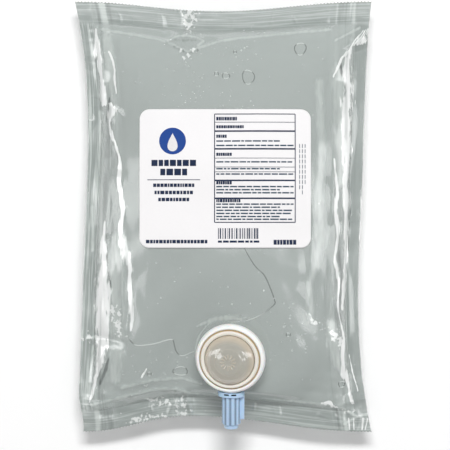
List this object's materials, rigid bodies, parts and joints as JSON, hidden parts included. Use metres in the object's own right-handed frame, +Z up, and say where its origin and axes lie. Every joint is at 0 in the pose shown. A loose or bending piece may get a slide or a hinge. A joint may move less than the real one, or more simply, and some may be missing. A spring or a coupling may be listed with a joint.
{
  "type": "hand soap refill pack",
  "caption": "Clear four-side-sealed film pouch of gel soap, lying on its back, with a plain paper label and a press dome pump with a capped nozzle near its lower end.",
  "frame": {"origin": "on the table surface under the middle of the pack", "axes": "+X across the pack to the right as the label is read, +Y along the pack towards the end away from the pump, +Z up out of the front web"},
  "size_m": [0.176, 0.2554, 0.0572],
  "materials": {
    "film": "clear glossy laminate film",
    "soap": "clear gel with fine bubbles",
    "label": "satin white paper with navy print",
    "spout": "clear moulded plastic",
    "housing": "glossy white moulded plastic",
    "dome": "translucent grey-beige soft moulding",
    "valve": "pale silicone rubber",
    "cap": "pale blue moulded plastic"
  },
  "bodies": {
    "pack": {"film_pouch": "film", "soap_fill": "soap", "label": "label", "spout_flange": "spout", "pump_housing": "housing", "inlet_valve": "valve", "outlet_valve": "valve", "retaining_ring": "housing"},
    "dome": {"pump_dome": "dome"},
    "cap": {"nozzle_cap": "cap"}
  },
  "joints": [
    {"name": "dome_press", "type": "slide", "parent": "pack", "child": "dome", "axis": [0.1392, 0.2059, -0.9686], "range_m": [0, 0.007], "stiffness_N_per_m": 1500, "deforming": ["pump_dome"]},
    {"name": "cap_pull", "type": "slide", "parent": "pack", "child": "cap", "axis": [0, -0.9781, -0.2079], "range_m": [0, 0.025]}
  ]
}
